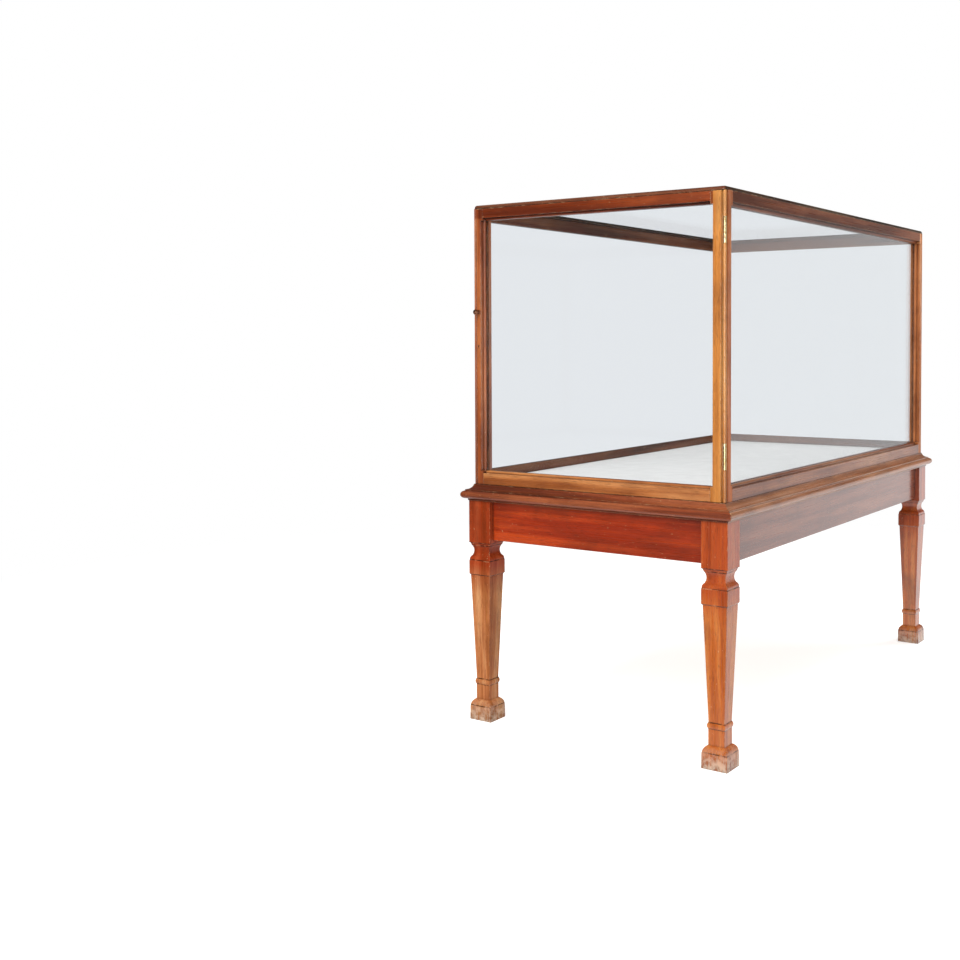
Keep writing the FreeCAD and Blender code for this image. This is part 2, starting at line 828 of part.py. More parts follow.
def lock_stile(label):
    """The free stile, with the knob's hole, the keyhole and the lock's mortise."""
    body = new_body(label)
    outline = rectangle(zero, s.door_thickness, lock_edge, lock_sight)
    pad(body, "z", door_bottom, door_top, corner_plan(-1, 1, outline))
    door_glazing_cuts(body, 1, s.lock_stile_face)
    room = s.lock_clearance
    back = s.lock_setback + s.lock_case_thickness
    deep = lock_edge + s.lock_plate_thickness + lock_case_depth + room
    case = rectangle(s.lock_setback - room, back + room, lock_edge - s.overrun, deep)
    cut(body, "z", lock_level - s.lock_case_height / 2 - room,
        lock_level + s.lock_case_height / 2 + room, corner_plan(-1, 1, case))
    plate = rectangle(s.lock_setback - room, back + room,
                      lock_edge - s.overrun, lock_edge + s.lock_plate_thickness)
    cut(body, "z", lock_level - s.lock_plate_height / 2 - room,
        lock_level + s.lock_plate_height / 2 + room, corner_plan(-1, 1, plate))
    middle = half_width - knob_place
    outside = -half_length - s.overrun
    hole = disc(middle, knob_level, s.spigot_diameter / 2 + s.spigot_clearance)
    cut(body, "x", outside, s.spigot_length + s.spigot_clearance - half_length, hole)
    eye = disc(middle, lock_level, s.keyhole_diameter / 2)
    slot = rectangle(middle - s.keyhole_slot / 2, middle + s.keyhole_slot / 2,
                     lock_level - s.keyhole_drop, lock_level)
    for keyhole in (eye, slot):
        cut(body, "x", outside, s.lock_setback - half_length, keyhole)


def door_pane(label):
    body = new_body(label)
    front = s.door_reveal + s.door_stop - half_length
    gap = s.glass_edge_gap
    pad(body, "x", front, front + s.glass_thickness,
        rectangle(s.hanging_face + gap - half_width, half_width - s.lock_stile_face - gap,
                  door_low_edge + gap, door_high_edge - gap))


def door_beads(label):
    """Four mitred beads that hold the pane from inside."""
    front = s.door_reveal + s.door_stop + s.glass_thickness - half_length
    back = s.door_thickness - half_length
    low_y, high_y = s.hanging_face - half_width, half_width - s.lock_stile_face
    w = s.door_stop_width
    outer = rectangle(low_y, high_y, door_low_edge, door_high_edge)
    inner = rectangle(low_y + w, high_y - w, door_low_edge + w, door_high_edge - w)
    strips = []
    for i in range(len(outer)):
        strip = doc.addObject("PartDesign::Body", "DoorBead%d" % i)
        pad(strip, "x", front, back, [outer[i - 1], outer[i], inner[i], inner[i - 1]])
        strips.append(strip)
    group(label, strips)


def group(label, bodies):
    """Several alike solids that share one node."""
    compound = doc.addObject("Part::Compound", label)
    compound.Links = bodies
    keep(label, compound)


# Hinges: five-knuckle butts whose barrels stand in line with the corner bead.
def knuckle_range(level, index):
    pitch = s.hinge_length / KNUCKLES
    low = level - s.hinge_length / 2 + pitch * index
    start = low + s.knuckle_gap / 2 if index else low
    end = low + pitch - s.knuckle_gap / 2 if index < KNUCKLES - 1 else low + pitch
    return start, end


def hinge_leaf(label, level, first, leaf_low):
    """A leaf and the knuckles rolled from it; first names its lowest knuckle."""
    body = new_body(label)
    plate_start = s.bead + s.knuckle_room
    leaf_high = leaf_low + s.leaf_thickness
    pad(body, "z", level - s.hinge_length / 2, level + s.hinge_length / 2,
        corner_plan(-1, -1, rectangle(plate_start, leaf_reach, leaf_low, leaf_high)))
    web = corner_plan(-1, -1, rectangle(bead_radius, plate_start, leaf_low, leaf_high))
    for index in range(first, KNUCKLES, 2):
        low, high = knuckle_range(level, index)
        pad(body, "z", low, high, web)
        pad(body, "z", low, high, hinge_disc(bead_radius))
    cut(body, "z", level - s.hinge_length / 2 - s.overrun,
        level + s.hinge_length / 2 + s.overrun, hinge_disc(s.pin_diameter / 2 + s.pin_clearance))


def hinge_pin(label, level):
    pin = doc.addObject("Part::Cylinder", label)
    pin.setExpression("Radius", (s.pin_diameter / 2).text)
    pin.setExpression("Height", s.hinge_length.text)
    pin.setExpression("Placement.Base.x", (bead_radius - half_length).text)
    pin.setExpression("Placement.Base.y", (bead_radius - half_width).text)
    pin.setExpression("Placement.Base.z", (level - s.hinge_length / 2).text)
    keep(label, pin)


# Knob and lock.
def place_turning(body):
    """Stand a turned piece on the lock stile's face, its axis along X."""
    body.setExpression("Placement.Base.x", (-half_length).text)
    body.setExpression("Placement.Base.y", (half_width - knob_place).text)
    body.setExpression("Placement.Base.z", knob_level.text)


def knob(label):
    body = new_body(label)
    face = -s.knob_length
    neck, rim = s.knob_neck / 2, s.knob_diameter / 2
    rose = -s.rose_thickness
    spigot = s.spigot_diameter / 2
    dome = (s.knob_crown * s.knob_crown + rim * rim) / (s.knob_crown * 2)
    turned(body, "z", [
        (s.spigot_length, zero), (s.spigot_length, spigot), (rose, spigot), (rose, neck),
        (face + s.knob_crown * 2, neck),
        (face + s.knob_crown, rim),
        arc(face, zero, dome, 1),
    ])
    place_turning(body)


def rose(label):
    body = new_body(label)
    rim = s.rose_diameter / 2
    hole = s.spigot_diameter / 2 + s.spigot_clearance
    half_thick = s.rose_thickness / 2
    turned(body, "z", [
        (zero, hole), (zero, rim), (-half_thick, rim),
        (-s.rose_thickness, rim - half_thick), (-s.rose_thickness, hole),
    ])
    place_turning(body)


def lock_case(label):
    """The lock's box behind its brass edge plate, with the bolt's channel."""
    body = new_body(label)
    back = s.lock_setback + s.lock_case_thickness
    plate_end = lock_edge + s.lock_plate_thickness
    pad(body, "z", lock_level - s.lock_case_height / 2, lock_level + s.lock_case_height / 2,
        corner_plan(-1, 1, rectangle(s.lock_setback, back, plate_end, plate_end + lock_case_depth)))
    pad(body, "z", lock_level - s.lock_plate_height / 2, lock_level + s.lock_plate_height / 2,
        corner_plan(-1, 1, rectangle(s.lock_setback, back, lock_edge, plate_end)))
    room = s.bolt_clearance
    front, rear = bolt_band(room)
    channel = rectangle(front, rear, lock_edge - s.overrun, lock_edge + bolt_length + room)
    cut(body, "z", lock_level - s.bolt_height / 2 - room, lock_level + s.bolt_height / 2 + room,
        corner_plan(-1, 1, channel))


def lock_bolt(label):
    body = new_body(label)
    front, rear = bolt_band(zero)
    pad(body, "z", lock_level - s.bolt_height / 2, lock_level + s.bolt_height / 2,
        corner_plan(-1, 1, rectangle(front, rear, lock_edge, lock_edge + bolt_length)))


def strike_plate(label):
    body = new_body(label)
    front, back = strike_band()
    pad(body, "z", lock_level - s.strike_height / 2, lock_level + s.strike_height / 2,
        corner_plan(-1, 1, rectangle(front, back, s.bead - s.strike_thickness, s.bead)))
    bolt_front, bolt_back = bolt_band(s.bolt_clearance)
    cut(body, "z", lock_level - s.bolt_height / 2 - s.bolt_clearance,
        lock_level + s.bolt_height / 2 + s.bolt_clearance,
        corner_plan(-1, 1, rectangle(bolt_front, bolt_back, s.bead - s.strike_thickness - s.overrun,
                                     s.bead + s.overrun)))


# Assembly.
SIDES_Y = {"front": -1, "back": 1}
SIDES_X = {"left": -1, "right": 1}

braces = []
for y_name, y_side in SIDES_Y.items():
    for x_name, x_side in SIDES_X.items():
        leg("leg_%s_%s" % (y_name, x_name), x_side, y_side)
        braces.append(corner_brace("Brace_%s_%s" % (y_name, x_name), x_side, y_side))
group("corner_braces", braces)
for y_name, y_side in SIDES_Y.items():
    apron("apron_" + y_name, "x", y_side)
    moulding("base_moulding_" + y_name, "x", y_side)
for x_name, x_side in SIDES_X.items():
    apron("apron_" + x_name, "y", x_side)
    moulding("base_moulding_" + x_name, "y", x_side)
    bearer("deck_bearer_" + x_name, x_side)
deck("deck_board", s.base_top, s.base_top + s.deck_thickness)
deck("deck_lining", s.base_top + s.deck_thickness, deck_top)

hinge_post("post_front_left")
strike_post("post_back_left")
long_low, long_high = s.door_post_reach - half_length, half_length - s.post_size
end_low, end_high = s.post_size - half_width, half_width - s.post_size
for y_name, y_side in SIDES_Y.items():
    corner_post("post_%s_right" % y_name, y_side)
    fixed_rail("bottom_rail_" + y_name, "x", y_side, long_low, long_high, s.base_top, s.bottom_face, 1)
    fixed_rail("top_rail_" + y_name, "x", y_side, long_low, long_high, rail_top, s.top_face, -1)
    pane("glass_" + y_name, "x", y_side, long_low, long_high)
fixed_rail("bottom_rail_right", "y", 1, end_low, end_high, s.base_top, s.bottom_face, 1)
fixed_rail("top_rail_right", "y", 1, end_low, end_high, rail_top, s.top_face, -1)
pane("glass_right", "y", 1, end_low, end_high)
crosspiece("door_sill", s.base_top, deck_top)
crosspiece("door_head", rail_top - s.head_height, rail_top)

top_blank = top_rim()
for y_name, y_side in SIDES_Y.items():
    top_member("top_frame_" + y_name, top_blank, "x", y_side)
for x_name, x_side in SIDES_X.items():
    top_member("top_frame_" + x_name, top_blank, "y", x_side)
top_glass("glass_top")

hanging_stile("door_hanging_stile")
lock_stile("door_lock_stile")
door_rail("door_bottom_rail", door_bottom, door_low_edge - door_bottom, 1)
door_rail("door_top_rail", door_top, s.door_top_face, -1)
door_pane("door_glass")
door_beads("door_glass_beads")
for name, level in hinge_levels.items():
    hinge_leaf("hinge_%s_post_leaf" % name, level, 0, cheek - s.leaf_thickness)
    hinge_leaf("hinge_%s_door_leaf" % name, level, 1, door_edge)
    hinge_pin("hinge_%s_pin" % name, level)
knob("door_knob")
rose("knob_rose")
lock_case("lock_case")
lock_bolt("lock_bolt")
strike_plate("strike_plate")

doc.recompute()
faults = [o.Label for o in doc.Objects if "Invalid" in o.State or "Error" in o.State]
faults += [label for label, item in parts.items() if item.Shape.isNull() or not item.Shape.isValid()]
if faults:
    raise RuntimeError("not built: " + ", ".join(faults))
os.makedirs("parts", exist_ok=True)
for label, item in parts.items():
    item.Shape.exportStep("parts/%s.step" % label)
print("%d sub-parts" % len(parts))
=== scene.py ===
"""Collectors display table: finishes, screws, floor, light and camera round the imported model."""
import json
import math

import bmesh
import bpy
from mathutils import Euler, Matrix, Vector


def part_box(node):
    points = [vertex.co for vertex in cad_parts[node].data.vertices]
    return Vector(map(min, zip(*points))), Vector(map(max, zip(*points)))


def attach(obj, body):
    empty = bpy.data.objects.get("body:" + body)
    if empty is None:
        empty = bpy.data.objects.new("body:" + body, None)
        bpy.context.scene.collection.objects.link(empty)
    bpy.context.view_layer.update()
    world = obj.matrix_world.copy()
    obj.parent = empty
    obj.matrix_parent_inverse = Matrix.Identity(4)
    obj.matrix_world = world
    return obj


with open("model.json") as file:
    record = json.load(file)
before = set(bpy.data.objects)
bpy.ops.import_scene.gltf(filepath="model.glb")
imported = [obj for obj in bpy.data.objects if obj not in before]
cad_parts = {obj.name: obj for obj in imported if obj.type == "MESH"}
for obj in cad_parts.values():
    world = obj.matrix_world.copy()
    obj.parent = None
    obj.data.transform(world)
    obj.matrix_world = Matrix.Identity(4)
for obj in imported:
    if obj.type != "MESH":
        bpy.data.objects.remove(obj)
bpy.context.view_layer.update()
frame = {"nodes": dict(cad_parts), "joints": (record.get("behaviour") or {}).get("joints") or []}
nodes = frame["nodes"]

MM = 0.001
QUARTER_TURN = math.pi / 2

# Sockets of a node that changes one range of numbers to another, in the order of the ranges below:
# the level where a thing starts, the level where it is full, and its share at the one and the other.
RANGE = ("From Min", "From Max", "To Min", "To Max")
# Places of the sockets of a Mix node, for colours and for plain numbers.
COLOURS = {"data_type": "RGBA"}
UNDER, OVER, MIXED = 6, 7, 2
NUMBERS = {"data_type": "FLOAT"}
AT_NONE, AT_FULL = 2, 3

# Colours, as sRGB hex. A tone is the dark, the middle and the pale of one board, or of painted shade.
TONES = {
    "stile_gold": ("a86426", "ca8038", "d89850"),
    "rail_red": ("5c220c", "7c3211", "94441e"),
    "frame_umber": ("4e2a1a", "6e3e28", "845236"),
    # Painted shade: darker than frame_umber, for top frames that get little light from above.
    "frame_smoked": ("2c2018", "463628", "5a4836"),
    "rail_orange": ("985426", "ba723c", "cc8850"),
    "stile_orange": ("86401c", "a85628", "b86c3c"),
    "post_amber": ("a85a30", "cc7642", "d88c5c"),
    "post_orange": ("b0683c", "d68450", "e09c6c"),
    "post_red": ("7c3e24", "a05a38", "b46e4a"),
    "base_brown": ("5e2814", "8a4022", "a05632"),
    "side_brown": ("74402a", "9a5c3c", "ae744e"),
    "rail_brown": ("5c301c", "7c4226", "905638"),
    "apron_red": ("942a0a", "ae380e", "bc4416"),
    "apron_brown": ("763a26", "8d4a30", "9a583c"),
    "nose_tan": ("8a5434", "b07048", "c0865e"),
    # Painted shade: a darker rail tone for the rails within and at the far side of the case.
    "rail_shade": ("48281a", "683e28", "7c5038"),
    "block_red": ("9c3c12", "b44a16", "c05e24"),
    "shaft_orange": ("aa5216", "c66622", "d4803c"),
    "shaft_bright": ("b25418", "d8702c", "e28c4c"),
    "block_wine": ("84300e", "9d3a18", "ae4c28"),
    "shaft_tan": ("ac6636", "c67e4c", "d29866"),
}
PORE = "381a0e"
BARE_WOOD = "dcb488"
# The dark of old wax in hollows; on the wood it also paints the shade of hollows and inner corners.
OLD_WAX_AND_SHADE = "1e110a"
SHELLAC = "5a2410"
SCUFF = "dcc4ac"
PINE = ("8e6a40", "b8925c", "ccab78")
CARD_STOCK = ("f0eeea", "f8f6f2")
GLASS_CLEAR = "f8f9fa"
GLASS_MIRROR = "e8ecee"
FLOOR_PAINT = "e9e7e4"
BLACK_PAPER = "141414"
WHITE = "ffffff"


def linear(colour):
    """A hex sRGB colour as the linear colour that a shader takes."""
    parts = [int(colour[i:i + 2], 16) / 255 for i in (0, 2, 4)]
    parts = [c / 12.92 if c <= 0.04045 else ((c + 0.055) / 1.055) ** 2.4 for c in parts]
    return (parts[0], parts[1], parts[2], 1.0)


def add(tree, kind, settings=None, values=None, links=None, stops=None):
    """Adds one node. Settings are its properties, values its sockets, links what feeds them."""
    made = tree.nodes.new("ShaderNode" + kind)
    for name, value in (settings or {}).items():
        setattr(made, name, value)
    for socket, value in (values or {}).items():
        made.inputs[socket].default_value = value
    for socket, source in (links or {}).items():
        tree.links.new(source, made.inputs[socket])
    if stops:
        elements = made.color_ramp.elements
        while len(elements) < len(stops):
            elements.new(1.0)
        for element, (place, colour) in zip(elements, stops):
            element.position = place
            element.color = linear(colour)
    return made


def new_material(name):
    """An empty material and its tree."""
    material = bpy.data.materials.new(name)
    material.use_nodes = True
    material.node_tree.nodes.clear()
    return material, material.node_tree


def cells(grain, across, along):
    """Mapping scale for a pattern that is so many mm wide and so many mm long with the grain."""
    return [1 / (MM * (along if axis == grain else across)) for axis in "XYZ"]


# The wood's figure: mm across, mm along the grain, how much detail, how rough. The pores are drawn
# about five times their size so that they show in the render.
FIGURE = {
    "ribbon": (26, 520, 3, 0.5),
    "lines": (2.6, 190, 4, 0.6),
    "pores": (1.3, 20, 1, 0.5),
    "cloud": (80, 130, 3, 0.55),
    "chips": (14, 14, 3, 0.6),
    "nicks": (5, 8, 2, 0.5),
}
# The levels between which nearly all of a figure lies, and where the ribbon has its three colours.
FIGURE_SPAN = (0.3, 0.7)
RIBBON_STOPS = (0.39, 0.5, 0.61)
# What lies over the ribbon, and its colour. Growth lines have the dark of their own board.
OVERLAYS = (
    ("lines", (0.46, 0.66, 0.0, 0.5), None),
    ("cloud", (0.48, 0.70, 0.0, 0.45), SHELLAC),
    ("pores", (0.60, 0.72, 0.0, 0.45), PORE),
    ("nicks", (0.71, 0.76, 0.0, 0.55), BARE_WOOD),
)

# Wear and painted shade. The arris is rounded and rubbed so many mm wide, and old wax with painted
# shade darkens what is hidden within so many mm. An edge is told by the cosine between its rounded
# and its flat face, and it stands free, or lies in a hollow, by how much of its surroundings are open.
ARRIS = 2.2
CREVICE = 6
NEAR_SAMPLES = 4
EDGE = (0.985, 0.90, 0.0, 1.0)
FREE = (0.6, 0.95, 0.0, 1.0)
CHIPPED = (0.50, 0.64, 0.05, 0.75)
HOLLOW = (0.88, 0.45, 0.0, 0.65)
# How dark an inner corner is painted, for old wax and for shade.
INNER_EDGE_WAX_AND_SHADE = 0.6

# A leg's wear and painted shade: heights in mm of the quirks between its mouldings, half the height
# of the dark line of wax and painted shade in one and how much of the wood it hides, then the soil
# and the scuffs up to a height in m.
QUIRKS = (476.0, 469.0, 429.5, 390.5, 109.0, 94.0, 38.5)
QUIRK_HALF = 1.3
DARKENING_LEFT = (0.62, 0.42, 0.0, 0.8)
FOOT = (0.055, 0.0)
SOIL = 0.5
KICKED = (0.86, 1.04, 0.0, 0.9)

# The polish: how strongly the wood itself mirrors, and the clear coat over it. It is duller on the
# growth lines, and duller still where it is rubbed off.
POLISH = {"bright": (0.5, 1.0), "full": (0.5, 0.6), "worn": (0.5, 0.25), "dull": (0.15, 0.0)}
POLISH_IOR = 1.5
SATIN = FIGURE_SPAN + (0.24, 0.36)
RUBBED_DULLER = 0.3
COAT_ROUGHNESS = 0.16
GRAIN_RELIEF = 0.2
GRAIN_DEPTH = 0.2


def leg_wear_and_shade(tree, height, figure, dirt_and_shade):
    """Adds dark lines of wax and painted shade in a leg's quirks, and soil at its foot, to the dirt and
    shade, and gives the scuffs of kicks.
    """
    left = add(tree, "MapRange", values=dict(zip(RANGE, DARKENING_LEFT)),
               links={"Value": figure["chips"]}).outputs["Result"]
    # A dark line of wax and painted shade at each quirk.
    for level in QUIRKS:
        quirk = add(tree, "Math", {"operation": "COMPARE"}, {1: level * MM, 2: QUIRK_HALF * MM},
                    {0: height}).outputs[0]
        quirk_wax_and_shade = add(tree, "Math", {"operation": "MULTIPLY"}, links={0: quirk, 1: left}).outputs[0]
        dirt_and_shade = add(tree, "Math", {"operation": "MAXIMUM"}, links={0: dirt_and_shade, 1: quirk_wax_and_shade}).outputs[0]
    low_down = add(tree, "MapRange", values=dict(zip(RANGE, FOOT)),
                   links={"Value": height}).outputs["Result"]
    soiled = add(tree, "Math", {"operation": "MULTIPLY"}, links={0: low_down, 1: left}).outputs[0]
    soil = add(tree, "Math", {"operation": "MULTIPLY"}, {1: SOIL}, {0: soiled}).outputs[0]
    dirt_and_shade = add(tree, "Math", {"operation": "MAXIMUM"}, links={0: dirt_and_shade, 1: soil}).outputs[0]
    streaks = add(tree, "Math", {"operation": "ADD"},
                  links={0: figure["chips"], 1: figure["lines"]}).outputs[0]
    kicked = add(tree, "MapRange", values=dict(zip(RANGE, KICKED)),
                 links={"Value": streaks}).outputs["Result"]
    scuffs = add(tree, "Math", {"operation": "MULTIPLY"}, links={0: low_down, 1: kicked}).outputs[0]
    return dirt_and_shade, scuffs


def french_polished_mahogany(name, grain, tone, polish, other=None, past=None, leg=False):
    """Mahogany, planed and french polished by hand, then worn for a century.

    To the eye: a ribbon of light and dark along the grain, fine growth lines, short dark pores,
    a clear satin shine that is broken by the grain, arrises rubbed to bare wood in places, and
    dark old wax with painted shade in the quirks, hollows and inner corners.
    """
    material, tree = new_material(name)
    place = add(tree, "TexCoord").outputs["Object"]
    spot = add(tree, "SeparateXYZ", links={"Vector": place}).outputs
    figure = {}
    for part, (across, along, detail, rough) in FIGURE.items():
        turned = add(tree, "Mapping", values={"Scale": cells(grain, across, along)},
                     links={"Vector": place})
        noise = add(tree, "TexNoise", values={"Scale": 1.0, "Detail": detail, "Roughness": rough},
                    links={"Vector": turned.outputs["Vector"]})
        figure[part] = noise.outputs["Fac"]

    # The board's own colours, which turn to another tone between two heights, all across the board
    # or only past one line.
    other_tone, turns, turned_at = other or (tone, 0.0, 1.0)
    boards = []
    for board in (tone, other_tone):
        ramp = add(tree, "ValToRGB", links={"Fac": figure["ribbon"]},
                   stops=list(zip(RIBBON_STOPS, TONES[board])))
        boards.append(ramp.outputs["Color"])
    change = add(tree, "MapRange", values=dict(zip(RANGE, (turns, turned_at))),
                 links={"Value": spot["Z"]}).outputs["Result"]
    if past is not None:
        beyond = add(tree, "Math", {"operation": "GREATER_THAN"}, {1: past}, {0: spot["Y"]}).outputs[0]
        change = add(tree, "Math", {"operation": "MULTIPLY"}, links={0: change, 1: beyond}).outputs[0]
    wood = add(tree, "Mix", COLOURS,
               links={0: change, UNDER: boards[0], OVER: boards[1]}).outputs[MIXED]

    # Growth lines, clouds of darker polish, pores and nicks lie over them.
    for part, limits, colour in OVERLAYS:
        amount = add(tree, "MapRange", values=dict(zip(RANGE, limits)),
                     links={"Value": figure[part]}).outputs["Result"]
        wood = add(tree, "Mix", COLOURS, {OVER: linear(colour or TONES[tone][0])},
                   {0: amount, UNDER: wood}).outputs[MIXED]

    # Where the arris stands free it is rubbed, and chipped here and there. Where it lies in a
    # corner, and in hollows, it is darkened with old wax and with painted shade.
    rounded = add(tree, "Bevel", {"samples": NEAR_SAMPLES}, {"Radius": ARRIS * MM}).outputs["Normal"]
    flat = add(tree, "NewGeometry").outputs["Normal"]
    turn = add(tree, "VectorMath", {"operation": "DOT_PRODUCT"},
               links={0: rounded, 1: flat}).outputs["Value"]
    reach = add(tree, "AmbientOcclusion", {"samples": NEAR_SAMPLES},
                {"Distance": CREVICE * MM}).outputs["AO"]
    shares = []
    for source, limits in ((turn, EDGE), (reach, FREE), (figure["chips"], CHIPPED), (reach, HOLLOW)):
        share = add(tree, "MapRange", values=dict(zip(RANGE, limits)), links={"Value": source})
        shares.append(share.outputs["Result"])
    edge, free, chipped, hollow = shares
    standing = add(tree, "Math", {"operation": "MULTIPLY"}, links={0: edge, 1: free}).outputs[0]
    rubbed = add(tree, "Math", {"operation": "MULTIPLY"}, links={0: standing, 1: chipped}).outputs[0]
    inner = add(tree, "Math", {"operation": "SUBTRACT"}, links={0: edge, 1: standing}).outputs[0]
    line = add(tree, "Math", {"operation": "MULTIPLY"}, {1: INNER_EDGE_WAX_AND_SHADE}, {0: inner}).outputs[0]
    dirt_and_shade = add(tree, "Math", {"operation": "MAXIMUM"}, links={0: hollow, 1: line}).outputs[0]
    wear_dirt_and_shade = [(rubbed, BARE_WOOD)]
    bare = rubbed
    if leg:
        dirt_and_shade, scuffs = leg_wear_and_shade(tree, spot["Z"], figure, dirt_and_shade)
        wear_dirt_and_shade.append((scuffs, SCUFF))
        bare = add(tree, "Math", {"operation": "MAXIMUM"}, links={0: rubbed, 1: scuffs}).outputs[0]
    # Old wax and painted shade go dark over all the rest.
    wear_dirt_and_shade.append((dirt_and_shade, OLD_WAX_AND_SHADE))
    for amount, colour in wear_dirt_and_shade:
        wood = add(tree, "Mix", COLOURS, {OVER: linear(colour)},
                   {0: amount, UNDER: wood}).outputs[MIXED]

    # The polish follows the growth lines and is dull where it is rubbed off.
    satin = add(tree, "MapRange", values=dict(zip(RANGE, SATIN)),
                links={"Value": figure["lines"]}).outputs["Result"]
    gloss = add(tree, "Math", {"operation": "MULTIPLY_ADD"}, {1: RUBBED_DULLER},
                {0: bare, 2: satin}).outputs[0]
    skin = add(tree, "Bump", values={"Strength": GRAIN_RELIEF, "Distance": GRAIN_DEPTH * MM},
               links={"Height": figure["lines"], "Normal": rounded}).outputs["Normal"]
    mirror, coat = POLISH[polish]
    shader = add(tree, "BsdfPrincipled",
                 values={"IOR": POLISH_IOR, "Specular IOR Level": mirror, "Coat Weight": coat,
                         "Coat Roughness": COAT_ROUGHNESS},
                 links={"Base Color": wood, "Roughness": gloss, "Normal": skin,
                        "Coat Normal": rounded})
    add(tree, "OutputMaterial", links={"Surface": shader.outputs[0]})
    return material


# Pine: mm across its bands and along them, and where they have their three colours.
PINE_BANDS = (14, 700)
PINE_STOPS = (0.36, 0.5, 0.64)


def planed_pine():
    """Pine, planed and left bare: wide pale bands with darker resin lines, dry and dusty."""
    material, tree = new_material("planed_pine")
    place = add(tree, "TexCoord").outputs["Object"]
    turned = add(tree, "Mapping", values={"Scale": cells("Y", *PINE_BANDS)}, links={"Vector": place})
    bands = add(tree, "TexNoise", values={"Scale": 1.0, "Detail": 3.0},
                links={"Vector": turned.outputs["Vector"]}).outputs["Fac"]
    wood = add(tree, "ValToRGB", links={"Fac": bands},
               stops=list(zip(PINE_STOPS, PINE))).outputs["Color"]
    skin = add(tree, "Bump", values={"Strength": 0.25, "Distance": 0.3 * MM}, links={"Height": bands})
    shader = add(tree, "BsdfPrincipled", values={"Roughness": 0.7, "IOR": 1.5},
                 links={"Base Color": wood, "Normal": skin.outputs["Normal"]})
    add(tree, "OutputMaterial", links={"Surface": shader.outputs[0]})
    return material


# Card: mm across its clouds and across its fibres.
CARD_CLOUD = 45
CARD_FIBRE = 1.5


def lining_card():
    """Off-white card, pressed and matt: faint clouds and a fine tooth of fibres."""
    material, tree = new_material("lining_card")
    place = add(tree, "TexCoord").outputs["Object"]
    clouds = add(tree, "TexNoise", values={"Scale": 1 / (CARD_CLOUD * MM), "Detail": 5.0},
                 links={"Vector": place}).outputs["Fac"]
    fibre = add(tree, "TexNoise", values={"Scale": 1 / (CARD_FIBRE * MM), "Detail": 2.0},
                links={"Vector": place}).outputs["Fac"]
    card = add(tree, "ValToRGB", links={"Fac": clouds},
               stops=list(zip(FIGURE_SPAN, CARD_STOCK))).outputs["Color"]
    skin = add(tree, "Bump", values={"Strength": 0.15, "Distance": 0.1 * MM}, links={"Height": fibre})
    shader = add(tree, "BsdfPrincipled", values={"Roughness": 0.85},
                 links={"Base Color": card, "Normal": skin.outputs["Normal"]})
    add(tree, "OutputMaterial", links={"Surface": shader.outputs[0]})
    return material


# Glass: its bend of light, mm from ripple to ripple, and how much of its mirror image shows.
GLASS_IOR = 1.5
GLASS_RIPPLE = 220
FAINT_SHEEN = 0.1
FULL_SHEEN = 1.0


def drawn_sheet_glass(name, sheen):
    """Clear sheet glass, drawn and fire polished: faintly grey, with a slow ripple.

    Its mirror image grows towards a glancing look. A sheet is too thin to bend what is seen through
    it, and lamps shine through all of it.
    """
    material, tree = new_material(name)
    place = add(tree, "TexCoord").outputs["Object"]
    ripple = add(tree, "TexNoise", values={"Scale": 1 / (GLASS_RIPPLE * MM), "Detail": 1.0},
                 links={"Vector": place}).outputs["Fac"]
    skin = add(tree, "Bump", values={"Strength": 0.05, "Distance": 0.4 * MM},
               links={"Height": ripple}).outputs["Normal"]
    inner = add(tree, "NewGeometry").outputs["Backfacing"]
    bend = add(tree, "Mix", NUMBERS, {AT_NONE: GLASS_IOR, AT_FULL: 1 / GLASS_IOR},
               {0: inner}).outputs[0]
    glance = add(tree, "Fresnel", links={"IOR": bend, "Normal": skin}).outputs[0]
    lamps = add(tree, "LightPath").outputs["Is Shadow Ray"]
    share = add(tree, "Mix", NUMBERS, {AT_NONE: sheen, AT_FULL: 0.0}, {0: lamps}).outputs[0]
    shown = add(tree, "Math", {"operation": "MULTIPLY"}, links={0: glance, 1: share}).outputs[0]
    through = add(tree, "BsdfTransparent", values={"Color": linear(GLASS_CLEAR)})
    mirror = add(tree, "BsdfPrincipled",
                 values={"Base Color": linear(GLASS_MIRROR), "Metallic": 1.0, "Roughness": 0.0},
                 links={"Normal": skin})
    pane = add(tree, "MixShader", links={0: shown, 1: through.outputs[0], 2: mirror.outputs[0]})
    add(tree, "OutputMaterial", links={"Surface": pane.outputs[0]})
    return material


# Metal: where tarnish comes in, mm within which a hollow is told, the dirt in it, and how much
# rougher the tarnish is.
TARNISH = (0.4, 0.65)
METAL_CREVICE = 3
METAL_HOLLOW = (0.8, 0.3, 0.0, 0.8)
TARNISH_ROUGHER = 0.2


